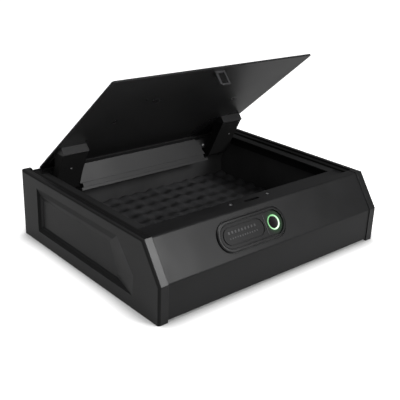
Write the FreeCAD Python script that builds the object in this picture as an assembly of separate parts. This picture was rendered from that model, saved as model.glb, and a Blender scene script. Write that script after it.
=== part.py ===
import FreeCAD, Part
import math
import os

# Slim pistol safe, lid open. Millimetres; X to the right, Y to the back, Z up, floor at Z 0.
V = FreeCAD.Vector

# overall body
WIDTH = 369.0
DEPTH = 295.0
HEIGHT = 90.0
KNEE_Z = 46.0
SLOPE_RUN = 30.0
PANEL_T = 13.0
HX = WIDTH / 2
HY = DEPTH / 2
INX = HX - PANEL_T

# sheet metal
SHEET = 2.0
WALL = 2.5
FLOOR_Z = 5.0
LEDGE_Z = 84.8
RIM_Z = 87.6
CREST_Z = 89.5
STEP_Y = -105.5
LEDGE_REAR = -83.0

# lid and its hinge
LID_HALF = 160.0
LID_LEN = 230.5
LID_REAR = 126.5
LID_Z = 85.1
LID_T = 2.5
PIVOT_Y = 136.5
PIVOT_Z = 60.7
OPEN_DEG = 40.3
ROD_R = 3.0
RUN_FIT = 0.05
ARM_IN = 117.0
ARM_OUT = 154.0
CHEEK = 2.5
HUB_R = 5.5
RIVET_LEFT = -136.3
RIVET_RIGHT = 141.7

# strike and latch
STRIKE_Y = -95.0
STRIKE_T = 2.5
SLOT_Y = (-97.0, -91.6)
SLOT_X = (-14.0, 9.8)
SCREW_XS = (-34.0, 28.6)
SCREW_Y = -91.0
BOLT_TIP = -99.5
BOLT_X = (-1.0, 4.0)
PINION_Y = -107.0
PINION_Z = 66.0
PITCH_R = 4.0
TEETH = 8
MOTOR_R = 6.0
BATTERY_X = 92.0

# control panel on the front slope
PAD_X = -36.4
PAD_HALF = 53.5
PAD_R = 18.75
RING_X = -1.5
RING_OUT = 9.3
RING_IN = 7.9
BUTTON_R = 7.4

# foam and cover
FOAM_TOP = 16.0
FOAM_HALF = 167.0
COVER_TOP = (133.0, LEDGE_Z)
COVER_LOW = (122.5, 62.0)
LIP_YZ = (118.5, 56.0)
LIP_WIDE = 3.9
LIP_THICK = 4.0
TAB_SCREW_X = 113.4
TAB_SCREW_S = 10.6

SLOPE_LEN = math.hypot(SLOPE_RUN, HEIGHT - KNEE_Z)
SLOPE_UP = V(0, SLOPE_RUN / SLOPE_LEN, (HEIGHT - KNEE_Z) / SLOPE_LEN)
SLOPE_IN = V(0, SLOPE_UP.z, -SLOPE_UP.y)


def box(x, y, z):
    return Part.makeBox(x[1] - x[0], y[1] - y[0], z[1] - z[0], V(x[0], y[0], z[0]))


def cyl(radius, start, end):
    axis = end - start
    return Part.makeCylinder(radius, axis.Length, start, axis)


def rod_x(radius, x, y, z):
    return cyl(radius, V(x[0], y, z), V(x[1], y, z))


def face_of(points):
    return Part.Face(Part.makePolygon(points + [points[0]]))


def profile(points, x):
    """A Y-Z outline carried along X."""
    face = face_of([V(x[0], y, z) for y, z in points])
    return face.extrude(V(x[1] - x[0], 0, 0))


def mirror_x(shape):
    return shape.mirror(V(0, 0, 0), V(1, 0, 0))


def join(shapes):
    return shapes[0].fuse(shapes[1:]).removeSplitter()


def fillet_where(shape, radius, wanted):
    edges = [edge for edge in shape.Edges if wanted(edge)]
    return shape.makeFillet(radius, edges)


def front_line(depth, top):
    """Knee and crest of the front outline, set in by depth, with its crest at height top."""
    knee_y = -HY + depth
    base = V(0, -HY, KNEE_Z) + SLOPE_IN * depth
    knee_z = base.z + (knee_y - base.y) * SLOPE_UP.z / SLOPE_UP.y
    crest_y = base.y + (top - base.z) * SLOPE_UP.y / SLOPE_UP.z
    return (knee_y, knee_z), (crest_y, top)


def on_slope(shape):
    """From flat on X-Y, facing +Z, to the middle of the front slope."""
    middle = V(0, -HY, KNEE_Z) + SLOPE_UP * (SLOPE_LEN / 2) + SLOPE_IN
    turn = FreeCAD.Rotation(V(1, 0, 0), math.degrees(math.atan2(SLOPE_UP.z, SLOPE_UP.y)))
    moved = shape.copy()
    moved.Placement = FreeCAD.Placement(middle, turn)
    return moved


def stadium(half_length, radius, z, x=PAD_X):
    run = half_length - radius
    slab = box((x - run, x + run), (-radius, radius), z)
    ends = [cyl(radius, V(x + side * run, 0, z[0]), V(x + side * run, 0, z[1])) for side in (-1, 1)]
    return join([slab] + ends)


def closed_to_open(shape):
    """Lid pieces are drawn closed and then swung to the open rest pose."""
    turned = shape.copy()
    turned.rotate(V(0, PIVOT_Y, PIVOT_Z), V(1, 0, 0), -OPEN_DEG)
    return turned


def lid_point(along, below):
    """Y and Z of a point on the open lid, along from its rear edge and below its underside."""
    angle = math.radians(-OPEN_DEG)
    y = LID_REAR - along - PIVOT_Y
    z = LID_Z - below - PIVOT_Z
    turned_y = y * math.cos(angle) - z * math.sin(angle)
    turned_z = y * math.sin(angle) + z * math.cos(angle)
    return PIVOT_Y + turned_y, PIVOT_Z + turned_z


def loft_pocket(outer, inner, x_outer, x_inner):
    wires = []
    for points, x in ((outer, x_outer), (inner, x_inner)):
        vectors = [V(x, y, z) for y, z in points]
        wires.append(Part.makePolygon(vectors + [vectors[0]]))
    return Part.makeLoft(wires, True, True)


def side_panel():
    """Right moulded end panel, with its sculpted recess and the step that carries the rim."""
    knee, crest = front_line(0, HEIGHT)
    outline = [(HY, 0), (HY, HEIGHT), crest, knee, (-HY, 0)]
    body = profile(outline, (INX, HX))
    body = fillet_where(body, 3.0, lambda e: e.BoundBox.XMin > HX - 0.01 and e.BoundBox.ZMax > 0.5)
    step = box((INX - 1, 176.3), (STEP_Y, 141.3), (85.6, HEIGHT + 1))
    outer = [(108, 76), (108, 16), (-100, 16), (-101.5, 41), (-71, 77.5)]
    inner = [(103, 61.5), (103, 23.5), (-65, 22), (-64, 31), (-49.6, 61.4)]
    pocket = loft_pocket(outer, inner, HX, HX - 5)
    rest = box((HX, HX + 1), (-120, 120), (0, 90))
    return body.cut([step, pocket, rest])


def base_tub():
    floor = box((-INX, INX), (-HY + 3, HY), (3, FLOOR_Z))
    rear = box((-INX, INX), (HY - WALL, HY), (3, LEDGE_Z + 1.1))
    knee, crest = front_line(3, LEDGE_Z - SHEET)
    outline = [(HY, 3), (HY, LEDGE_Z), (141.3, LEDGE_Z), (141.3, RIM_Z), (STEP_Y, RIM_Z)]
    outline += [(STEP_Y, LEDGE_Z - SHEET), crest, knee, (knee[0], 3)]
    wall = profile(outline, (INX - WALL, INX))
    rim = box((INX - WALL, 176.3), (STEP_Y, 141.3), (RIM_Z - SHEET, RIM_Z))
    anchors = [cyl(4, V(x, y, 2), V(x, y, 6)) for x in (-130, 130) for y in (-60, 120)]
    hatch = box((BATTERY_X - 30, BATTERY_X + 30), (-141, -103), (2, 6))
    tub = join([floor, rear, wall, mirror_x(wall), rim, mirror_x(rim)])
    return tub.cut(anchors + [hatch])


def front_panel():
    """One bent sheet: lower face, slope, crest, step and the ledge the lid closes on."""
    knee, crest = front_line(1, CREST_Z)
    knee_in, crest_in = front_line(1 + SHEET, CREST_Z - SHEET)
    outline = [(knee[0], 3), knee, crest, (STEP_Y, CREST_Z), (STEP_Y, LEDGE_Z), (LEDGE_REAR, LEDGE_Z)]
    outline += [(LEDGE_REAR, LEDGE_Z - SHEET), (STEP_Y - SHEET, LEDGE_Z - SHEET)]
    outline += [(STEP_Y - SHEET, CREST_Z - SHEET), crest_in, knee_in, (knee_in[0], 3)]
    half = INX - 0.3
    sheet = profile(outline, (-half, half))
    bends = {(round(p[0], 3), round(p[1], 3)): r for p, r in
             ((knee, 4.0), (crest, 3.0), (knee_in, 2.0), (crest_in, 1.0))}
    for (y, z), radius in bends.items():
        sheet = fillet_where(sheet, radius, lambda e: is_along_x(e, y, z))
    ends = box((INX - WALL - 0.3, INX), (STEP_Y - SHEET, LEDGE_REAR + 1), (80, RIM_Z + 0.1))
    slot = fillet_where(
        box(SLOT_X, SLOT_Y, (80, 90)),
        1.5,
        lambda e: e.BoundBox.ZLength > 5,
    )
    cuts = [slot, ends, mirror_x(ends)]
    for x in SCREW_XS:
        cuts.append(cyl(1.6, V(x, SCREW_Y, 80), V(x, SCREW_Y, 90)))
        cuts.append(cyl(3.2, V(x, SCREW_Y, LEDGE_Z - 1.2), V(x, SCREW_Y, 90)))
    cuts.append(on_slope(stadium(PAD_HALF - 2.3, PAD_R - 2.3, (-6, 6))))
    moat = stadium(PAD_HALF + 1.3, PAD_R + 1.3, (-1.0, 4)).cut(stadium(PAD_HALF, PAD_R, (-2, 5)))
    cuts.append(on_slope(moat))
    return sheet.cut(cuts)


def is_along_x(edge, y, z):
    bounds = edge.BoundBox
    near = abs(bounds.YMin - y) < 0.01 and abs(bounds.ZMin - z) < 0.01
    return near and bounds.XLength > 100 and bounds.YLength < 0.01


def inner_front_wall():
    half = INX - WALL
    wall = box((-half, half), (LEDGE_REAR - 1.5, LEDGE_REAR), (FLOOR_Z, LEDGE_Z - SHEET))
    foot = box((-half, 90), (LEDGE_REAR - 10, LEDGE_REAR - 1), (FLOOR_Z, FLOOR_Z + 1.5))
    return join([wall, foot])


def lid_rest():
    """Right angle strip inside the opening that the lid's side edge closes onto."""
    top = box((156, INX - WALL), (LEDGE_REAR, 128), (LEDGE_Z - 1.5, LEDGE_Z))
    leg = box((INX - WALL - 1.5, INX - WALL), (LEDGE_REAR, 128), (68, LEDGE_Z))
    return join([top, leg])


def foam_pad():
    slab = box((-FOAM_HALF, FOAM_HALF), (LEDGE_REAR + 0.5, HY - WALL - 0.5), (FLOOR_Z, FOAM_TOP))
    pockets = [cyl(11, V(x, y, 4), V(x, y, 12)) for x in (-130, 130) for y in (-60, 120)]
    return slab.cut(pockets)


def rear_cover():
    """Folded cover over the hinge rod: top strip, slanted face and rolled lower lip."""
    top = box((-99, 99), (COVER_TOP[0], HY - WALL), (LEDGE_Z - SHEET, LEDGE_Z))
    flange = box((-156, 156), (141, HY - WALL), (LEDGE_Z - SHEET, LEDGE_Z))
    run = math.hypot(COVER_TOP[0] - COVER_LOW[0], COVER_TOP[1] - COVER_LOW[1])
    down = V(0, COVER_LOW[0] - COVER_TOP[0], COVER_LOW[1] - COVER_TOP[1]).multiply(1 / run)
    back = V(0, -down.z, down.y) * 1.5
    start = V(0, COVER_TOP[0], COVER_TOP[1])
    corners = [(-99, 0), (99, 0), (112, run), (-112, run)]
    face = face_of([start + down * s + V(x, 0, 0) for x, s in corners]).extrude(back)
    low = V(0, COVER_LOW[0], COVER_LOW[1]) + back
    web = [(low.y - 0.6, low.z + 1.4), (low.y + 0.4, low.z + 0.6)]
    side = down * (LIP_WIDE / 2)
    centre = V(0, LIP_YZ[0], LIP_YZ[1]) + down * 1.3
    web += [((p := centre + back * share - down * 1.5).y, p.z) for share in (1.1, 0.4)]
    link = profile(web, (-108, 108))
    mid = centre - back * (LIP_THICK / 3)
    lip = face_of([mid + side * s + V(x, 0, 0) for x, s in ((-113.5, -1), (113.5, -1), (113.5, 1), (-113.5, 1))])
    lip = lip.extrude(back * (LIP_THICK / 1.5))
    lip = fillet_where(lip, 1.9, lambda e: e.BoundBox.XLength < 0.01 and e.Length > 3)
    return join([top, flange, face, link, lip])


def cover_plane(x, down, behind):
    """A point at distance down the cover's slanted face, and behind it."""
    run = math.hypot(COVER_TOP[0] - COVER_LOW[0], COVER_TOP[1] - COVER_LOW[1])
    along = V(0, COVER_LOW[0] - COVER_TOP[0], COVER_LOW[1] - COVER_TOP[1]) * (1 / run)
    back = V(0, -along.z, along.y)
    return V(x, COVER_TOP[0], COVER_TOP[1]) + along * down + back * behind


def domed_head(radius, height, base, axis):
    """A round screw or rivet head that stands on base and bulges along axis."""
    reach = radius + 0.15
    sphere_r = (reach * reach + height * height) / (2 * height)
    ball = Part.makeSphere(sphere_r, base + axis * (height - sphere_r))
    blank = Part.makeCylinder(radius, height, base, axis)
    return ball.common(blank)


def cover_screw():
    """Domed screw on the right bracket's tab, beside the cover."""
    axis = cover_plane(0, 0, -1) - cover_plane(0, 0, 0)
    head = domed_head(2.8, 1.9, cover_plane(TAB_SCREW_X, TAB_SCREW_S, 1.6), axis)
    shank = cyl(1.5, cover_plane(TAB_SCREW_X, TAB_SCREW_S, 4.5), cover_plane(TAB_SCREW_X, TAB_SCREW_S, 1.5))
    return join([head, shank])


def lid_plate():
    plate = box((-LID_HALF, LID_HALF), (LID_REAR - LID_LEN, LID_REAR), (LID_Z, LID_Z + LID_T))
    plate = fillet_where(plate, 3.0, lambda e: e.BoundBox.ZLength > 2 and e.BoundBox.XLength < 0.1)
    plate = fillet_where(plate, 0.6, lambda e: e.BoundBox.ZLength < 0.01)
    return closed_to_open(plate)


def strike_loop():
    outer = [(-8.75, LID_Z), (6.75, LID_Z), (6.75, 66.1), (-5.75, 66.1), (-8.75, 69.1)]
    start_y = STRIKE_Y - STRIKE_T / 2
    blank = face_of([V(x, start_y, z) for x, z in outer]).extrude(V(0, STRIKE_T, 0))
    window = box((-5.5, 4.75), (STRIKE_Y - 3, STRIKE_Y + 3), (68.1, 82.6))
    window = fillet_where(window, 0.8, lambda e: e.BoundBox.YLength > 5)
    return closed_to_open(blank.cut(window))


def strap_line(back, z):
    """Y and Z on the strap's front face at height z, or back behind that face."""
    slope = (117.7 - 91.4) / (116.7 - 64.0)
    y = 117.7 - (z - 64.0) * slope
    size = math.hypot(1, slope)
    return y + back / size, z + back * slope / size


def hinge_arm(rivet_x):
    """Right folded arm: foot on the lid, front wall, strap, two cheeks and the hinge knuckle."""
    foot_front = lid_point(64, 0)
    foot_rear = lid_point(16, 0)
    nose = lid_point(64, 11)
    cheek = [lid_point(44, 0), foot_front, nose, strap_line(0, 116.7), strap_line(0, 64), (119.6, 60.2)]
    cheek += [(124.5, 56.4), (133, 56.4), (134.5, 64.5), (127.5, 71), strap_line(10, 84)]
    inner_edge = profile(cheek, (ARM_IN, ARM_IN + CHEEK))
    outer_edge = profile(cheek, (ARM_OUT - CHEEK, ARM_OUT))
    span = (ARM_IN, ARM_OUT)
    wide = 2.5
    foot = [foot_rear, foot_front, lid_point(64, 2), lid_point(16, 2)]
    wall = [foot_front, nose, lid_point(64 - wide, 11), lid_point(64 - wide, 0)]
    strap = [nose, strap_line(0, 116.7), strap_line(0, 64), (119.6, 60.2), (124.5, 56.4)]
    strap += [(125.6, 58.6), (121.6, 61.4), strap_line(wide, 65), strap_line(wide, 116)]
    strap += [lid_point(64 - wide, 8)]
    hubs = [
        rod_x(HUB_R, (ARM_IN, ARM_IN + 7), PIVOT_Y, PIVOT_Z),
        rod_x(HUB_R, (ARM_OUT - 7, ARM_OUT), PIVOT_Y, PIVOT_Z),
    ]
    plates = [profile(points, span) for points in (foot, wall, strap)]
    arm = join([inner_edge, outer_edge] + plates + hubs)
    bore = rod_x(ROD_R + RUN_FIT, (ARM_IN - 1, ARM_OUT + 1), PIVOT_Y, PIVOT_Z)
    return arm.cut([bore, rivet_shank(rivet_x)])


def rivet_axis():
    low = V(0, *strap_line(0, 94.5))
    return (V(0, *strap_line(1, 94.5)) - low).normalize()


def rivet_shank(x):
    start = V(x, *strap_line(0, 94.5)) - rivet_axis() * 0.1
    return cyl(1.2, start, start + rivet_axis() * 2.6)


def arm_rivets():
    """One round-headed rivet through each strap."""
    rivets = []
    for x in (-RIVET_LEFT, RIVET_RIGHT):
        head = domed_head(2.4, 1.3, V(x, *strap_line(0, 94.5)), rivet_axis() * -1)
        rivets.append(join([head, rivet_shank(x)]))
    return Part.makeCompound([mirror_x(rivets[0]), rivets[1]])


def hinge_bracket():
    """Right U-shaped bearing for the rod, welded to the rear wall."""
    outline = [(HY - WALL, 48), (HY - WALL, 78), (131, 78), (129.4, 73), (129, 66), (130.6, 55), (135, 48)]
    ears = [profile(outline, x) for x in ((108, 110.5), (156.5, 159))]
    web = box((108, 159), (HY - WALL - 1.5, HY - WALL), (46, 80))
    corners = [(99.5, 2), (116.2, 2), (116.2, 15), (101, 15)]
    tab = face_of([cover_plane(x, down, 1.6) for x, down in corners])
    tab = tab.extrude(cover_plane(0, 0, 1.8) - cover_plane(0, 0, 0))
    bore = rod_x(ROD_R, (100, 170), PIVOT_Y, PIVOT_Z)
    hole = cyl(1.5, cover_plane(TAB_SCREW_X, TAB_SCREW_S, -4), cover_plane(TAB_SCREW_X, TAB_SCREW_S, 8))
    return join(ears + [web, tab]).cut([bore, hole])


def hinge_rod():
    rod = rod_x(ROD_R, (-161, 161), PIVOT_Y, PIVOT_Z)
    return rod.makeChamfer(0.6, [e for e in rod.Edges if e.BoundBox.XLength < 0.01])


def tube(points, radius):
    parts = []
    for start, end in zip(points, points[1:]):
        parts.append(cyl(radius, start, end))
        parts.append(Part.makeSphere(radius, start))
    parts.append(Part.makeSphere(radius, points[-1]))
    return join(parts)


def torsion_spring():
    """Right lid spring: a coil round the rod, one leg on the rear wall, one under the strap."""
    coil_r = 4.6
    wire_r = 0.8
    length = 9.5 * 1.75
    start_x = 127.0
    helix = Part.makeHelix(1.75, length, coil_r)
    ring = Part.Wire([Part.Edge(Part.Circle(V(coil_r, 0, 0), V(0, 1, 0), wire_r))])
    coil = Part.Wire(helix).makePipeShell([ring], True, True)
    coil.rotate(V(0, 0, 0), V(0, 1, 0), 90)
    coil.translate(V(start_x, PIVOT_Y, PIVOT_Z))
    first = V(start_x, PIVOT_Y, PIVOT_Z - coil_r)
    last = V(start_x + length, PIVOT_Y, PIVOT_Z + coil_r)
    beads = [Part.makeSphere(wire_r * 1.15, point) for point in (first, last)]
    wall_leg = cyl(wire_r, first, V(start_x, HY - WALL - 2.4, PIVOT_Z - 11))
    strap_leg = cyl(wire_r, last, V(start_x + length, *strap_line(3.4, 84)))
    return join([coil, wall_leg, strap_leg] + beads)


def control_bezel():
    outer = stadium(PAD_HALF, PAD_R, (0, 2.0))
    outer = outer.makeChamfer(1.2, [e for e in outer.Edges if e.BoundBox.ZMin > 1.99])
    collar = stadium(PAD_HALF - 2.4, PAD_R - 2.4, (-2, 0.5))
    inner = stadium(PAD_HALF - 3.4, PAD_R - 3.4, (-3, 3))
    return on_slope(join([outer, collar]).cut(inner))


def face_plate():
    """Flat plate in the bezel, with an engraved outline and a seat for the light ring."""
    foot = stadium(PAD_HALF - 3.5, PAD_R - 3.5, (-2.0, -0.6))
    plate = foot.fuse(stadium(PAD_HALF - 4.6, PAD_R - 4.6, (-1.0, 0.8)))
    run = PAD_HALF - PAD_R
    left = PAD_X - run
    groove = stadium((RING_X - 16 - left) / 2 + 5.5, 11, (-0.3, 2), (RING_X - 16 + left) / 2 - 5.5)
    core = stadium((RING_X - 16 - left) / 2 + 4.3, 9.8, (-1, 3), (RING_X - 16 + left) / 2 - 5.5)
    seat = cyl(RING_OUT, V(RING_X, 0, -4), V(RING_X, 0, 4))
    return on_slope(plate.cut([groove.cut(core), seat]))


def tick_marks():
    """A plain divider and two rows of raised generic ticks."""
    bars = [box((RING_X - 13.6, RING_X - 12.8), (-12, 12), (0.8, 1.1))]
    for row, count, length in ((2.4, 9, 3.2), (-3.6, 12, 1.8)):
        pitch = 46.0 / count
        for i in range(count):
            x = PAD_X - 37 + i * pitch
            bars.append(box((x, x + pitch * 0.45), (row, row + length), (0.8, 1.1)))
    return on_slope(Part.makeCompound(bars))


def light_ring():
    ring = cyl(RING_OUT, V(RING_X, 0, -2), V(RING_X, 0, 1.2))
    ring = ring.cut(cyl(RING_IN, V(RING_X, 0, -3), V(RING_X, 0, 3)))
    ring = fillet_where(ring, 0.5, lambda e: e.BoundBox.ZMin > 1.19)
    return on_slope(ring)


def sensor_button():
    disc = cyl(BUTTON_R, V(RING_X, 0, -1.0), V(RING_X, 0, 0.9))
    disc = fillet_where(disc, 0.5, lambda e: e.BoundBox.ZMin > 0.89)
    dish = Part.makeSphere(60, V(RING_X, 0, 60.5))
    stem = cyl(2.5, V(RING_X, 0, -2.6), V(RING_X, 0, -0.9))
    return on_slope(join([disc.cut(dish), stem]))


def control_housing():
    shell = stadium(PAD_HALF - 4, PAD_R - 4, (-8.0, -2.0))
    room = stadium(PAD_HALF - 5.2, PAD_R - 5.2, (-7.0, -1.0))
    return on_slope(shell.cut(room))


def circuit_board():
    """Board, tactile switch under the button and the lamp row of the light ring."""
    board = stadium(PAD_HALF - 5.7, PAD_R - 5.7, (-6.6, -5.4))
    switch = box((RING_X - 3, RING_X + 3), (-3, 3), (-5.4, -3.9))
    lamps = []
    for i in range(8):
        angle = math.radians(22.5 + i * 45)
        x = RING_X + 8.6 * math.cos(angle)
        y = 8.6 * math.sin(angle)
        lamps.append(box((x - 1, x + 1), (y - 1, y + 1), (-5.4, -4.4)))
    chip = box((PAD_X - 30, PAD_X - 20), (-5, 5), (-5.4, -4.4))
    posts = [cyl(2, V(PAD_X + dx, 0, -7.0), V(PAD_X + dx, 0, -6.6)) for dx in (-34, 34)]
    return on_slope(join([board, switch, chip] + lamps + posts))


def latch_housing():
    """Cradle bolted under the ledge; it guides the bolt and carries the motor."""
    pan = box((-38, 38), (-116, -86), (57, 59))
    sides = [box(x, (-106, -86), (58, LEDGE_Z - SHEET)) for x in ((-38, -36), (36, 38))]
    tabs = [box(x, (-97, -86), (LEDGE_Z - SHEET - 3, LEDGE_Z - SHEET)) for x in ((-37, -26), (26, 37))]
    guide = box((-6, 9), (-101.9, -98.2), (58, LEDGE_Z - SHEET))
    tunnel = box((BOLT_X[0] - 0.35, BOLT_X[1] + 0.35), (-104, -97), (68.65, 78.35))
    pad = box((-31, -7), (PINION_Y - 4, PINION_Y + 4), (58, PINION_Z - MOTOR_R + 0.5))
    nest = rod_x(MOTOR_R + 0.1, (-32, -6.5), PINION_Y, PINION_Z)
    holes = [cyl(1.5, V(x, SCREW_Y, 75), V(x, SCREW_Y, 85)) for x in SCREW_XS]
    return join([pan, guide, pad] + sides + tabs).cut([tunnel, nest] + holes)


def latch_screws():
    screws = []
    for x in SCREW_XS:
        head = domed_head(3.0, 1.1, V(x, SCREW_Y, LEDGE_Z - 1.2), V(0, 0, 1))
        recess = box((x - 1.9, x + 1.9), (SCREW_Y - 0.3, SCREW_Y + 0.3), (LEDGE_Z - 0.5, LEDGE_Z + 1))
        shank = cyl(1.5, V(x, SCREW_Y, LEDGE_Z - 7.5), V(x, SCREW_Y, LEDGE_Z - 1.1))
        screws.append(join([head, shank]).cut(recess))
    return Part.makeCompound(screws)


def latch_bolt():
    """Square bolt with a rack cut along its underside."""
    bar = box(BOLT_X, (-109, BOLT_TIP), (71.2, 78))
    bar = fillet_where(bar, 1.0, lambda e: e.BoundBox.YMin > BOLT_TIP - 0.01 and e.BoundBox.XLength > 3)
    tail = box(BOLT_X, (-116, -108), (71.2, 74.6))
    pitch = math.pi * PITCH_R * 2 / TEETH
    teeth = []
    for i in range(-3, 4):
        y = PINION_Y + (i + 0.5) * pitch
        if -115.4 < y < -100.8:
            points = [(y - 0.82, 71.3), (y - 0.3, 69.3), (y + 0.3, 69.3), (y + 0.82, 71.3)]
            teeth.append(profile(points, BOLT_X))
    return join([bar, tail] + teeth)


def drive_pinion():
    """Small pinion on the motor shaft, one tooth pointing straight up at rest."""
    core = rod_x(2.7, BOLT_X, PINION_Y, PINION_Z)
    teeth = []
    for i in range(TEETH):
        tooth = profile([(-0.95, 2.0), (-0.5, 4.7), (0.5, 4.7), (0.95, 2.0)], BOLT_X)
        tooth.rotate(V(0, 0, 0), V(1, 0, 0), 360.0 / TEETH * i)
        tooth.translate(V(0, PINION_Y, PINION_Z))
        teeth.append(tooth)
    shaft = rod_x(1.5, (-12, BOLT_X[1]), PINION_Y, PINION_Z)
    return join([core, shaft] + teeth)


def gear_motor():
    can = rod_x(MOTOR_R, (-30, -6.5), PINION_Y, PINION_Z)
    nose = rod_x(3.2, (-7, -4.5), PINION_Y, PINION_Z)
    cap = rod_x(2.2, (-31.5, -29), PINION_Y, PINION_Z)
    bore = rod_x(1.5 + RUN_FIT, (-12.4, 0), PINION_Y, PINION_Z)
    return join([can, nose, cap]).cut(bore)


def battery_box():
    tray = box((BATTERY_X - 29, BATTERY_X + 29), (-140, -104), (FLOOR_Z, 40))
    room = box((BATTERY_X - 27.5, BATTERY_X + 27.5), (-138.5, -105.5), (4, 38.5))
    return tray.cut(room)


def battery_cells():
    cells = []
    start = BATTERY_X - 24.8
    for y in (-130.2, -113.8):
        for z in (14.2, 30.0):
            can = rod_x(7.1, (start, start + 49.5), y, z)
            tip = rod_x(2.6, (start + 49.5, start + 51), y, z)
            cells.append(join([can, tip]))
    return Part.makeCompound(cells)


def battery_door():
    plate = box((BATTERY_X - 29.7, BATTERY_X + 29.7), (-140.7, -103.3), (3, FLOOR_Z))
    seat = cyl(3, V(BATTERY_X, -122, 1), V(BATTERY_X, -122, 3.8))
    screw = cyl(2.8, V(BATTERY_X, -122, 3.2), V(BATTERY_X, -122, 4))
    return join([plate.cut(seat), screw])


def wire_harness():
    """Leads from the board to the battery box and to the motor."""
    runs = [
        [V(-60, -116, 54), V(-60, -100, 40), V(50, -92, 40), V(BATTERY_X - 30, -108, 30)],
        [V(-62, -116, 52), V(-62, -98, 44), V(-50, -94, 54), V(-46, PINION_Y, PINION_Z), V(-32.5, PINION_Y, PINION_Z)],
    ]
    return Part.makeCompound([tube(points, 0.9) for points in runs])


def rubber_feet():
    feet = []
    for x in (-145, 145):
        for y in (-125, 125):
            foot = cyl(8, V(x, y, 0), V(x, y, 3))
            feet.append(foot.makeChamfer(0.6, [e for e in foot.Edges if e.BoundBox.ZMax < 0.01]))
    return Part.makeCompound(feet)


def build():
    panel = side_panel()
    rest = lid_rest()
    bracket = hinge_bracket()
    spring = torsion_spring()
    return {
        "base_tub": base_tub(),
        "front_panel": front_panel(),
        "side_panel_right": panel,
        "side_panel_left": mirror_x(panel),
        "inner_front_wall": inner_front_wall(),
        "lid_rest_right": rest,
        "lid_rest_left": mirror_x(rest),
        "foam_pad": foam_pad(),
        "rear_cover": rear_cover(),
        "cover_screw": cover_screw(),
        "lid_plate": lid_plate(),
        "strike_loop": strike_loop(),
        "hinge_arm_right": hinge_arm(RIVET_RIGHT),
        "hinge_arm_left": mirror_x(hinge_arm(-RIVET_LEFT)),
        "arm_rivets": arm_rivets(),
        "hinge_bracket_right": bracket,
        "hinge_bracket_left": mirror_x(bracket),
        "hinge_rod": hinge_rod(),
        "torsion_spring_right": spring,
        "torsion_spring_left": mirror_x(spring),
        "control_bezel": control_bezel(),
        "face_plate": face_plate(),
        "tick_marks": tick_marks(),
        "light_ring": light_ring(),
        "sensor_button": sensor_button(),
        "control_housing": control_housing(),
        "circuit_board": circuit_board(),
        "latch_housing": latch_housing(),
        "latch_screws": latch_screws(),
        "latch_bolt": latch_bolt(),
        "drive_pinion": drive_pinion(),
        "gear_motor": gear_motor(),
        "battery_box": battery_box(),
        "battery_cells": battery_cells(),
        "battery_door": battery_door(),
        "wire_harness": wire_harness(),
        "rubber_feet": rubber_feet(),
    }


def main():
    os.makedirs("parts", exist_ok=True)
    for name, shape in build().items():
        bounds = shape.BoundBox
        valid = shape.isValid()
        print(f"{name:22s} valid {valid} solids {len(shape.Solids)} volume {shape.Volume:.0f}", end=" ")
        print(f"x {bounds.XMin:.1f} {bounds.XMax:.1f} y {bounds.YMin:.1f} {bounds.YMax:.1f}", end=" ")
        print(f"z {bounds.ZMin:.1f} {bounds.ZMax:.1f}")
        shape.exportStep(f"parts/{name}.step")


main()
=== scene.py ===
import math

import bmesh
import bpy
from mathutils import Matrix, Vector, noise


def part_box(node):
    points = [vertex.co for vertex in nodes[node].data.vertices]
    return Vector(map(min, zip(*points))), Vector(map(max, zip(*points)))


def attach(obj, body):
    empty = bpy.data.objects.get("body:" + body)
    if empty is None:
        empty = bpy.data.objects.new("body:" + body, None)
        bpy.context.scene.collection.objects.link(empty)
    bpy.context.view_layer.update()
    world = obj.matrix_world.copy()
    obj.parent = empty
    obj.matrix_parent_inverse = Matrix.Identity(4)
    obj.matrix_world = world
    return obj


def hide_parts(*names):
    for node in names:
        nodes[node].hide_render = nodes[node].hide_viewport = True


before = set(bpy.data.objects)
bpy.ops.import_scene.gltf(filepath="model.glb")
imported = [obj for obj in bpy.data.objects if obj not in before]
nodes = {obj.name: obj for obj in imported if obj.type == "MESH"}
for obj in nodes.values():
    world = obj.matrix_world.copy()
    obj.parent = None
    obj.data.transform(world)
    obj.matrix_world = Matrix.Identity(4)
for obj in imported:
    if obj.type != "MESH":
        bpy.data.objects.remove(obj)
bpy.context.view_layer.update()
MM = 0.001

# The view: how the lens axis turns round the safe, where the lens is, and its angle of view.
CAMERA_AZIMUTH = math.radians(-41.41)
CAMERA_ELEVATION = math.radians(22.12)
CAMERA_ROLL = math.radians(2.20)
CAMERA_PLACE = Vector((-573.3, -646.8, 403.1)) * MM
SENSOR_WIDTH = 36.0
FOCAL_LENGTH = 62.91

# Places where a coat's painted shade or painted green glow changes, each as the two ends of the change.
ROUNDING_X = (181.0 * MM, 181.9 * MM)
RIM_Z = (85.0 * MM, 85.6 * MM)
NOSE_Z = (116.6 * MM, 117.4 * MM)
SPILL_REACH = (9.0 * MM, 16.5 * MM)
SPILL_SIDE = (-10 * MM, 8 * MM)
RING_LEAN = 9 * MM

# Egg-crate foam: lattice, mesh step, and the slow and quick unevenness laid over it.
FOAM_PITCH = 23.5 * MM
FOAM_STEP = 1.9 * MM
FOAM_VALLEY = 7.5 * MM
FOAM_PEAK_RISE = 1.5 * MM
FOAM_UNEVEN = 1.2 * MM
FOAM_SLOW = 25
FOAM_QUICK = 60

# Stage: a white floor and three soft lights, each with name, place, target, size and power.
FLOOR_REACH = 9.0
FLOOR_SHADE = 0.7
CONTACT_REACH = 35 * MM
WORLD_STRENGTH = 0.12
LIGHTS = (
    ("key", (0.52, -1.25, 0.86), (-0.1, -0.1, 0.06), (0.45, 0.5), 10),
    ("top", (-0.3, 0.1, 2.2), (0, 0, 0), (1.6, 1.6), 26),
    ("soft_front", (-0.5, -1.6, 1.0), (0, 0.05, 0.08), (1.6, 1.0), 3.5),
)


# ---------------------------------------------------------------- camera

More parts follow.
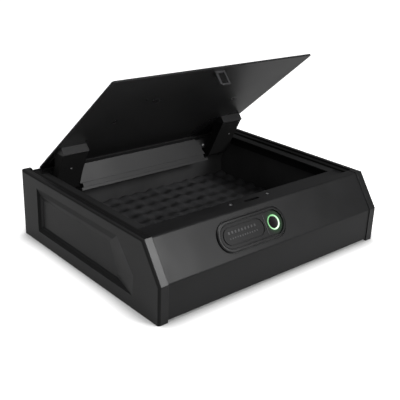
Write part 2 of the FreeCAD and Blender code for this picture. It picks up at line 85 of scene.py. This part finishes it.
def make_camera():
    """The photograph's view, built from the turns of the lens axis round the safe."""
    back = Vector((
        math.sin(CAMERA_AZIMUTH) * math.cos(CAMERA_ELEVATION),
        -math.cos(CAMERA_AZIMUTH) * math.cos(CAMERA_ELEVATION),
        math.sin(CAMERA_ELEVATION),
    ))
    right = Vector((math.cos(CAMERA_AZIMUTH), math.sin(CAMERA_AZIMUTH), 0))
    up = back.cross(right)
    side = right * math.cos(CAMERA_ROLL) + up * math.sin(CAMERA_ROLL)
    top = up * math.cos(CAMERA_ROLL) - right * math.sin(CAMERA_ROLL)
    matrix = Matrix((side, top, back)).transposed().to_4x4()
    matrix.translation = CAMERA_PLACE
    data = bpy.data.cameras.new("camera")
    data.sensor_width = SENSOR_WIDTH
    data.lens = FOCAL_LENGTH
    data.clip_start = 0.01
    data.clip_end = 50
    camera = bpy.data.objects.new("camera", data)
    bpy.context.collection.objects.link(camera)
    camera.matrix_world = matrix
    bpy.context.scene.camera = camera


# ---------------------------------------------------------------- node helpers

def new_material(name):
    """A node material, with its tree and its principled shader."""
    material = bpy.data.materials.new(name)
    material.use_nodes = True
    tree = material.node_tree
    return material, tree, tree.nodes["Principled BSDF"]


def add(tree, kind, **values):
    """A new node with its properties set."""
    node = tree.nodes.new(kind)
    for key, value in values.items():
        setattr(node, key, value)
    return node


def grain(tree, scale, detail):
    """A noise in object space; scale is in features per metre."""
    place = add(tree, "ShaderNodeTexCoord")
    tex = add(tree, "ShaderNodeTexNoise")
    tex.inputs["Scale"].default_value = scale
    tex.inputs["Detail"].default_value = detail
    tex.inputs["Roughness"].default_value = 0.55
    tree.links.new(place.outputs["Object"], tex.inputs["Vector"])
    return tex.outputs["Fac"]


def remap(tree, source, low, high, from_low=0.3, from_high=0.7):
    """The source's range carried to low and high; the default range is that of a noise."""
    node = add(tree, "ShaderNodeMapRange")
    ends = {"From Min": from_low, "From Max": from_high, "To Min": low, "To Max": high}
    for key, value in ends.items():
        node.inputs[key].default_value = value
    tree.links.new(source, node.inputs["Value"])
    return node.outputs["Result"]


def mix_color(tree, factor, first, second):
    """A blend of two colours, each a tuple or a socket."""
    node = add(tree, "ShaderNodeMix", data_type="RGBA")
    for slot, value in ((6, first), (7, second)):
        if isinstance(value, tuple):
            node.inputs[slot].default_value = (*value, 1)
        else:
            tree.links.new(value, node.inputs[slot])
    tree.links.new(factor, node.inputs[0])
    return node.outputs[2]


def mix_value(tree, factor, first, second):
    node = add(tree, "ShaderNodeMix", data_type="FLOAT")
    tree.links.new(factor, node.inputs[0])
    tree.links.new(first, node.inputs[2])
    node.inputs[3].default_value = second
    return node.outputs[0]


def math_node(tree, operation, first, second=None):
    node = add(tree, "ShaderNodeMath", operation=operation)
    for slot, value in enumerate((first, second)):
        if isinstance(value, (int, float)):
            node.inputs[slot].default_value = value
        elif value is not None:
            tree.links.new(value, node.inputs[slot])
    return node.outputs["Value"]


def place_axis(tree, axis):
    """One coordinate of the shaded point, in metres of the safe's own frame."""
    place = add(tree, "ShaderNodeTexCoord")
    split = add(tree, "ShaderNodeSeparateXYZ")
    tree.links.new(place.outputs["Object"], split.inputs["Vector"])
    return split.outputs[axis]


def outer_rounding(tree):
    """1 on the rounded outer border of an end moulding, 0 on its flat faces; this border gets painted shade,
    a dark edge line.
    """
    far = remap(tree, math_node(tree, "ABSOLUTE", place_axis(tree, "X")), 0, 1, *ROUNDING_X)
    geometry = add(tree, "ShaderNodeNewGeometry")
    split = add(tree, "ShaderNodeSeparateXYZ")
    tree.links.new(geometry.outputs["Normal"], split.inputs["Vector"])
    turned = remap(tree, math_node(tree, "ABSOLUTE", split.outputs["X"]), 1, 0, 0.9, 0.985)
    return math_node(tree, "MULTIPLY", far, turned)


def upper_rim(tree):
    """1 on the tub's thin upper flange, 0 below it; the flange gets painted shade."""
    return remap(tree, place_axis(tree, "Z"), 0, 1, *RIM_Z)


def below_nose(tree):
    """1 on a hinge arm below its bent nose, 0 on the nose's front face; the downward-facing part below gets
    painted shade.
    """
    return remap(tree, place_axis(tree, "Z"), 1, 0, *NOSE_Z)


def ring_spill(tree, shader, strength):
    """Painted glow: green emission on the surface round the light ring, standing in for light spilled from
    the ring.
    """
    low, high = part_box("light_ring")
    centre = [(a + b) / 2 for a, b in zip(low, high)]
    place = add(tree, "ShaderNodeTexCoord")
    gap = add(tree, "ShaderNodeVectorMath", operation="SUBTRACT")
    tree.links.new(place.outputs["Object"], gap.inputs[0])
    gap.inputs[1].default_value = centre
    length = add(tree, "ShaderNodeVectorMath", operation="LENGTH")
    tree.links.new(gap.outputs["Vector"], length.inputs[0])
    near = remap(tree, length.outputs["Value"], 1, 0, *SPILL_REACH)
    split = add(tree, "ShaderNodeSeparateXYZ")
    tree.links.new(gap.outputs["Vector"], split.inputs["Vector"])
    side = remap(tree, split.outputs["X"], 0.3, 1, *SPILL_SIDE)
    shader.inputs["Emission Color"].default_value = (0.03, 1.0, 0.08, 1)
    power = math_node(tree, "MULTIPLY", math_node(tree, "MULTIPLY", near, near), side)
    tree.links.new(math_node(tree, "MULTIPLY", power, strength), shader.inputs["Emission Strength"])


def edge_mask(tree, radius, gain):
    """1 on convex and concave edges, 0 on flats, from the difference of a bevelled normal."""
    bevel = add(tree, "ShaderNodeBevel", samples=6)
    bevel.inputs["Radius"].default_value = radius
    geometry = add(tree, "ShaderNodeNewGeometry")
    dot = add(tree, "ShaderNodeVectorMath", operation="DOT_PRODUCT")
    tree.links.new(bevel.outputs["Normal"], dot.inputs[0])
    tree.links.new(geometry.outputs["Normal"], dot.inputs[1])
    return remap(tree, dot.outputs["Value"], gain, 0.0, 0.75, 0.995), bevel.outputs["Normal"]


def bump(tree, height, strength, distance, normal=None):
    node = add(tree, "ShaderNodeBump")
    node.inputs["Strength"].default_value = strength
    node.inputs["Distance"].default_value = distance
    tree.links.new(height, node.inputs["Height"])
    if normal is not None:
        tree.links.new(normal, node.inputs["Normal"])
    return node.outputs["Normal"]


def coated(name, color, rough, grain_mm=0.7, grain_depth=0.02, strength=0.35, edge=0.25,
           edge_color=None, metallic=0.0, round_mm=0.5, spec=0.5, painted_shade_part=None):
    """Painted, moulded or plated surface: colour drift, fine grain bump, and edges painted lighter, partly as
    wear and partly as a painted highlight of edges catching the light.
    """
    material, tree, shader = new_material(name)
    broad = grain(tree, 14, 4)
    speck = grain(tree, 1000 / grain_mm, 2)
    darker = tuple(c * 0.82 for c in color)
    lighter = tuple(min(1, c * 1.15) for c in color)
    base = mix_color(tree, remap(tree, broad, 0.0, 1.0), darker, lighter)
    mask, soft = edge_mask(tree, round_mm * MM, edge)
    # Edges painted lighter: partly wear, partly a painted highlight where an edge catches the light.
    wear_and_highlight = edge_color or tuple(min(1, c * 2.4 + 0.01) for c in color)
    base = mix_color(tree, mask, base, wear_and_highlight)
    roughness = remap(tree, broad, rough * 0.9, rough * 1.12)
    # Painted shade: where the given mask is 1, the coat is painted near-black and rough.
    if painted_shade_part is not None:
        share = painted_shade_part(tree)
        base = mix_color(tree, share, base, (0.006, 0.006, 0.006))
        roughness = mix_value(tree, share, roughness, 0.85)
    tree.links.new(base, shader.inputs["Base Color"])
    tree.links.new(roughness, shader.inputs["Roughness"])
    tree.links.new(bump(tree, speck, strength, grain_depth * MM, soft), shader.inputs["Normal"])
    shader.inputs["Metallic"].default_value = metallic
    shader.inputs["Specular IOR Level"].default_value = spec
    return material


def brushed(name, color, rough):
    """Plated or ground metal with fine lines along X."""
    material, tree, shader = new_material(name)
    place = add(tree, "ShaderNodeTexCoord")
    mapping = add(tree, "ShaderNodeMapping")
    mapping.inputs["Scale"].default_value = (1, 60, 60)
    tex = add(tree, "ShaderNodeTexNoise")
    tex.inputs["Scale"].default_value = 90
    tex.inputs["Detail"].default_value = 4
    tree.links.new(place.outputs["Object"], mapping.inputs["Vector"])
    tree.links.new(mapping.outputs["Vector"], tex.inputs["Vector"])
    lines = tex.outputs["Fac"]
    base = mix_color(tree, remap(tree, lines, 0.0, 1.0), tuple(c * 0.8 for c in color), color)
    tree.links.new(base, shader.inputs["Base Color"])
    tree.links.new(remap(tree, lines, rough * 0.8, rough * 1.3), shader.inputs["Roughness"])
    tree.links.new(bump(tree, lines, 0.2, 0.02 * MM), shader.inputs["Normal"])
    shader.inputs["Metallic"].default_value = 1.0
    return material


def glowing(name, color, strength):
    """Diffusing light pipe, brightest at its lower right where the lamp sits."""
    material, tree, shader = new_material(name)
    shader.inputs["Base Color"].default_value = (0.1, 0.3, 0.12, 1)
    shader.inputs["Roughness"].default_value = 0.35
    low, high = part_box("light_ring")
    lean = math_node(tree, "SUBTRACT", place_axis(tree, "X"), place_axis(tree, "Z"))
    centre = (low[0] + high[0] - low[2] - high[2]) / 2
    bright = remap(tree, lean, 0, 1, centre - RING_LEAN, centre + RING_LEAN)
    tree.links.new(mix_color(tree, bright, color, (0.8, 1.0, 0.8)), shader.inputs["Emission Color"])
    power = remap(tree, bright, strength * 0.55, strength * 1.3, 0, 1)
    tree.links.new(power, shader.inputs["Emission Strength"])
    return material


def foam_material():
    """Open-cell foam: dark cells with lighter walls, and almost no shine."""
    material, tree, shader = new_material("foam_cells")
    cells = add(tree, "ShaderNodeTexVoronoi")
    cells.inputs["Scale"].default_value = 900
    place = add(tree, "ShaderNodeTexCoord")
    tree.links.new(place.outputs["Object"], cells.inputs["Vector"])
    fine = grain(tree, 1800, 3)
    broad = grain(tree, 30, 3)
    tone = mix_color(tree, remap(tree, broad, 0.0, 1.0), (0.04, 0.04, 0.042), (0.06, 0.06, 0.062))
    pores = remap(tree, cells.outputs["Distance"], 0.0, 0.55, 0.0, 0.5)
    tree.links.new(mix_color(tree, pores, tone, (0.085, 0.085, 0.088)), shader.inputs["Base Color"])
    shader.inputs["Roughness"].default_value = 0.95
    shader.inputs["Specular IOR Level"].default_value = 0.2
    first = bump(tree, cells.outputs["Distance"], 0.6, 0.35 * MM)
    tree.links.new(bump(tree, fine, 0.5, 0.2 * MM, first), shader.inputs["Normal"])
    return material


def board_material():
    """Green solder mask with lighter copper traces."""
    material, tree, shader = new_material("board_mask")
    place = add(tree, "ShaderNodeTexCoord")
    brick = add(tree, "ShaderNodeTexBrick")
    brick.inputs["Scale"].default_value = 160
    brick.inputs["Mortar Size"].default_value = 0.03
    tree.links.new(place.outputs["Object"], brick.inputs["Vector"])
    tree.links.new(mix_color(tree, brick.outputs["Fac"], (0.01, 0.09, 0.03), (0.03, 0.2, 0.07)),
                   shader.inputs["Base Color"])
    shader.inputs["Roughness"].default_value = 0.35
    return material


def paint_nodes():
    """One material for each CAD node, whose mesh stays as it is."""
    paint = {"grain_mm": 0.9, "grain_depth": 0.02, "strength": 0.3, "edge": 0.1}
    matt = {"grain_mm": 0.9, "grain_depth": 0.03, "strength": 0.35, "edge": 0.0}
    body = coated("powder_coat", (0.011, 0.011, 0.0115), 0.4, **paint, spec=0.3, round_mm=0.3)
    lid = coated("lid_coat", (0.028, 0.028, 0.0285), 0.3, **paint, spec=0.15, round_mm=0.3)
    inner = coated("inner_coat", (0.07, 0.07, 0.071), 0.65, **matt, spec=0.15, round_mm=0.3,
                   painted_shade_part=upper_rim)
    cover = coated("cover_coat", (0.036, 0.036, 0.037), 0.4, **paint, spec=0.33, round_mm=0.4)
    arm = coated("arm_coat", (0.036, 0.036, 0.037), 0.42, **paint, spec=0.4, round_mm=0.4,
                 painted_shade_part=below_nose)
    # Painted shade: the lid rests are coloured darker and matt, as if in shadow under the lid.
    rest = coated("lid_rest_painted_shade", (0.022, 0.022, 0.0225), 0.75, **matt, spec=0.1, round_mm=0.3)
    rivet = coated("rivet_nickel", (0.75, 0.75, 0.76), 0.4, 0.9, 0.01, 0.2, 0.2,
                   edge_color=(0.8, 0.8, 0.8), metallic=0.4, round_mm=0.2)
    moulding = coated("end_texture", (0.0095, 0.0095, 0.01), 0.34, 0.55, 0.03, 0.4, 0.1,
                      spec=0.42, round_mm=0.8, painted_shade_part=outer_rounding)
    bezel = coated("bezel_gloss", (0.01, 0.01, 0.0105), 0.3, 1.2, 0.01, 0.15, 0.2,
                   round_mm=0.35, spec=0.35)
    face = coated("face_satin", (0.009, 0.009, 0.0095), 0.42, 0.5, 0.02, 0.3, 0.15,
                  round_mm=0.25, spec=0.26)
    tick = coated("tick_grey", (0.045, 0.045, 0.047), 0.4, 0.4, 0.01, 0.2, 0.3, round_mm=0.1)
    sensor = coated("sensor_gloss", (0.008, 0.006, 0.008), 0.35, 2.0, 0.004, 0.1, 0.0,
                    round_mm=0.3, spec=0.15)
    plastic = coated("hidden_plastic", (0.02, 0.02, 0.02), 0.55, 0.8, 0.03)
    rubber = coated("foot_rubber", (0.012, 0.012, 0.012), 0.75, 0.6, 0.05, 0.5)
    black_zinc = coated("black_zinc", (0.12, 0.12, 0.125), 0.34, 0.8, 0.02, 0.3, 0.4,
                        edge_color=(0.4, 0.4, 0.42), metallic=0.7, round_mm=0.2)
    zinc = brushed("zinc_plate", (0.62, 0.62, 0.63), 0.3)
    spring = brushed("spring_wire", (0.12, 0.12, 0.125), 0.3)
    steel = brushed("ground_steel", (0.5, 0.5, 0.52), 0.28)
    brass = brushed("gear_brass", (0.7, 0.52, 0.22), 0.3)
    wire = coated("wire_cover", (0.25, 0.015, 0.012), 0.5, 1.0, 0.01)
    wrap = coated("cell_wrap", (0.05, 0.05, 0.06), 0.3, 1.5, 0.01, 0.1, 0.4,
                  edge_color=(0.5, 0.45, 0.3))
    # Painted glow from the light ring on the bezel and the face plate.
    for material, strength in ((bezel, 0.05), (face, 0.07)):
        tree = material.node_tree
        ring_spill(tree, tree.nodes["Principled BSDF"], strength)
    chosen = {
        "base_tub": inner, "front_panel": body, "side_panel_right": moulding, "side_panel_left": moulding,
        "inner_front_wall": inner, "lid_rest_right": rest, "lid_rest_left": rest, "rear_cover": cover,
        "cover_screw": zinc, "lid_plate": lid, "strike_loop": black_zinc, "hinge_arm_right": arm,
        "hinge_arm_left": arm, "arm_rivets": rivet, "hinge_bracket_right": inner, "hinge_bracket_left": inner,
        "hinge_rod": zinc, "torsion_spring_right": spring, "torsion_spring_left": spring,
        "control_bezel": bezel, "face_plate": face, "tick_marks": tick, "sensor_button": sensor,
        "light_ring": glowing("ring_glow", (0.42, 1.0, 0.45), 1.0), "control_housing": plastic,
        "circuit_board": board_material(), "latch_housing": black_zinc, "latch_screws": zinc,
        "latch_bolt": steel, "drive_pinion": brass, "gear_motor": zinc, "battery_box": plastic,
        "battery_cells": wrap, "battery_door": plastic, "wire_harness": wire, "rubber_feet": rubber,
    }
    for name, material in chosen.items():
        mesh = nodes[name].data
        mesh.materials.clear()
        mesh.materials.append(material)


# ---------------------------------------------------------------- foam

def make_foam():
    """Egg-crate pad: square lattice of soft peaks, flat die-cut sides, flat underside."""
    low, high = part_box("foam_pad")
    base = low[2]
    peak = high[2] + FOAM_PEAK_RISE
    valley = base + FOAM_VALLEY
    count_x = round((high[0] - low[0]) / FOAM_STEP)
    count_y = round((high[1] - low[1]) / FOAM_STEP)
    mesh = bmesh.new()
    rows = []
    for j in range(count_y + 1):
        row = []
        for i in range(count_x + 1):
            x = low[0] + (high[0] - low[0]) * i / count_x
            y = low[1] + (high[1] - low[1]) * j / count_y
            sway = noise.noise(Vector((x * FOAM_SLOW, y * FOAM_SLOW, 0.3))) * FOAM_UNEVEN
            wave_x = math.cos(2 * math.pi * (x + sway) / FOAM_PITCH)
            wave_y = math.cos(2 * math.pi * (y - sway) / FOAM_PITCH)
            share = (wave_x + wave_y + 2) / 4
            lump = noise.noise(Vector((x * FOAM_QUICK, y * FOAM_QUICK, 1.7))) * FOAM_UNEVEN
            z = valley + (peak - valley) * share + lump
            row.append(mesh.verts.new((x, y, z)))
        rows.append(row)
    for j in range(count_y):
        for i in range(count_x):
            mesh.faces.new((rows[j][i], rows[j][i + 1], rows[j + 1][i + 1], rows[j + 1][i]))
    right_side = [row[-1] for row in rows[1:]]
    left_side = [row[0] for row in rows[-2:0:-1]]
    rim = rows[0] + right_side + rows[-1][-2::-1] + left_side
    floor_ring = [mesh.verts.new((v.co.x, v.co.y, base)) for v in rim]
    for k in range(len(rim)):
        following = (k + 1) % len(rim)
        mesh.faces.new((rim[following], rim[k], floor_ring[k], floor_ring[following]))
    mesh.faces.new(list(reversed(floor_ring)))
    bmesh.ops.recalc_face_normals(mesh, faces=mesh.faces)
    data = bpy.data.meshes.new("foam_egg_crate")
    mesh.to_mesh(data)
    mesh.free()
    for polygon in data.polygons:
        polygon.use_smooth = abs(polygon.normal.z) > 0.05
    foam = bpy.data.objects.new("foam_egg_crate", data)
    bpy.context.collection.objects.link(foam)
    foam.data.materials.append(foam_material())
    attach(foam, "case")
    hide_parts("foam_pad")


# ---------------------------------------------------------------- stage

def area_light(name, place, target, size, power):
    data = bpy.data.lights.new(name, "AREA")
    data.shape = "RECTANGLE"
    data.size, data.size_y = size
    data.energy = power
    light = bpy.data.objects.new(name, data)
    bpy.context.collection.objects.link(light)
    light.location = place
    light.rotation_euler = (Vector(target) - Vector(place)).to_track_quat("-Z", "Y").to_euler()


def make_stage():
    """White floor that the camera sees almost evenly lit, with a painted contact shadow where pieces touch
    it: its camera-only glow is dimmed by ambient occlusion.
    """
    data = bpy.data.meshes.new("floor")
    corners = [(x * FLOOR_REACH, y * FLOOR_REACH, 0) for x, y in ((-1, -1), (1, -1), (1, 1), (-1, 1))]
    data.from_pydata(corners, [], [(0, 1, 2, 3)])
    floor = bpy.data.objects.new("floor", data)
    bpy.context.collection.objects.link(floor)
    material, tree, shader = new_material("floor_white")
    shader.inputs["Base Color"].default_value = (FLOOR_SHADE, FLOOR_SHADE, FLOOR_SHADE, 1)
    shader.inputs["Roughness"].default_value = 0.9
    shader.inputs["Specular IOR Level"].default_value = 0.1
    shader.inputs["Emission Color"].default_value = (1, 1, 1, 1)
    seen = add(tree, "ShaderNodeLightPath").outputs["Is Camera Ray"]
    # Painted contact shadow: the camera-only glow is dimmed by ambient occlusion near the pieces.
    near = add(tree, "ShaderNodeAmbientOcclusion", samples=16)
    near.inputs["Distance"].default_value = CONTACT_REACH
    lit = remap(tree, near.outputs["AO"], 0.04, 0.95, 0.5, 0.97)
    tree.links.new(math_node(tree, "MULTIPLY", seen, lit), shader.inputs["Emission Strength"])
    floor.data.materials.append(material)

    world = bpy.data.worlds.new("studio")
    bpy.context.scene.world = world
    world.use_nodes = True
    background = world.node_tree.nodes["Background"]
    background.inputs["Color"].default_value = (1, 1, 1, 1)
    background.inputs["Strength"].default_value = WORLD_STRENGTH
    for light in LIGHTS:
        area_light(*light)
    bpy.context.scene.view_settings.view_transform = "Standard"


make_camera()
paint_nodes()
make_foam()
make_stage()
